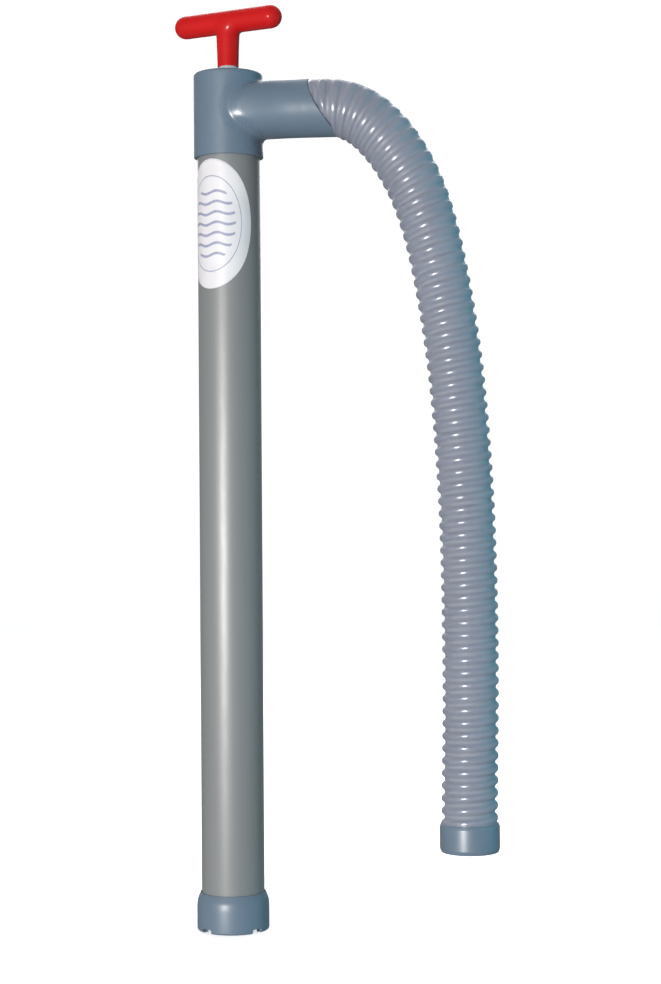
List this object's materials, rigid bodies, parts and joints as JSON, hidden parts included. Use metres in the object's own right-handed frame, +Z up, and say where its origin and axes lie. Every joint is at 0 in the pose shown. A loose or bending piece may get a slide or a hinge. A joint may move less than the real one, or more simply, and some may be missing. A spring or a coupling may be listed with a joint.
{
  "type": "manual bilge pump",
  "caption": "Hand-operated piston bilge pump: upright round barrel, T-handled rod, foot valve, side spout and a hanging corrugated discharge hose.",
  "frame": {"origin": "centre of the foot's underside, on the axis of the barrel", "axes": "+Z up along the barrel towards the handle, +X out along the discharge spout"},
  "size_m": [0.2199, 0.0488, 0.6191],
  "materials": {
    "barrel_plastic": "neutral grey extruded rigid pipe, semi-gloss",
    "fitting_plastic": "blue-grey moulded rigid plastic, semi-gloss",
    "handle_plastic": "bright red moulded plastic, satin",
    "rod_plastic": "pale grey rigid plastic tube, smooth",
    "hose_plastic": "lavender-grey flexible hose with moulded spiral ribs, satin",
    "seal_rubber": "black moulded rubber, matt",
    "stainless_steel": "turned stainless steel",
    "label_film": null
  },
  "bodies": {
    "barrel": {"barrel_tube": "barrel_plastic", "head_tee": "fitting_plastic", "rod_guide": "fitting_plastic", "rod_seal": "seal_rubber", "label": "label_film", "foot_cap": "fitting_plastic", "foot_valve_seat": "fitting_plastic", "foot_valve_pin": "stainless_steel", "hose": "hose_plastic", "hose_cuff": "fitting_plastic"},
    "foot_valve": {"foot_valve_disc": "seal_rubber"},
    "piston": {"piston_body": "fitting_plastic", "piston_retainer": "fitting_plastic"},
    "cup": {"piston_cup": "seal_rubber"},
    "rod": {"pump_rod": "rod_plastic", "rod_end_plug": "rod_plastic", "stop_collar": "fitting_plastic", "piston_screw": "stainless_steel", "piston_washer": "stainless_steel", "handle": "handle_plastic"}
  },
  "joints": [
    {"name": "rod_slide", "type": "slide", "parent": "barrel", "child": "piston", "axis": [0, 0, 1], "range_m": [0, 0.45]},
    {"name": "handle_turn", "type": "hinge", "parent": "piston", "child": "rod", "pos_m": [0, 0, 0.6], "axis": [0, 0, 1], "continuous": true},
    {"name": "cup_lift", "type": "slide", "parent": "piston", "child": "cup", "axis": [0, 0, 1], "range_m": [0, 0.0025]},
    {"name": "foot_valve_lift", "type": "slide", "parent": "barrel", "child": "foot_valve", "axis": [0, 0, 1], "range_m": [0, 0.003]}
  ]
}
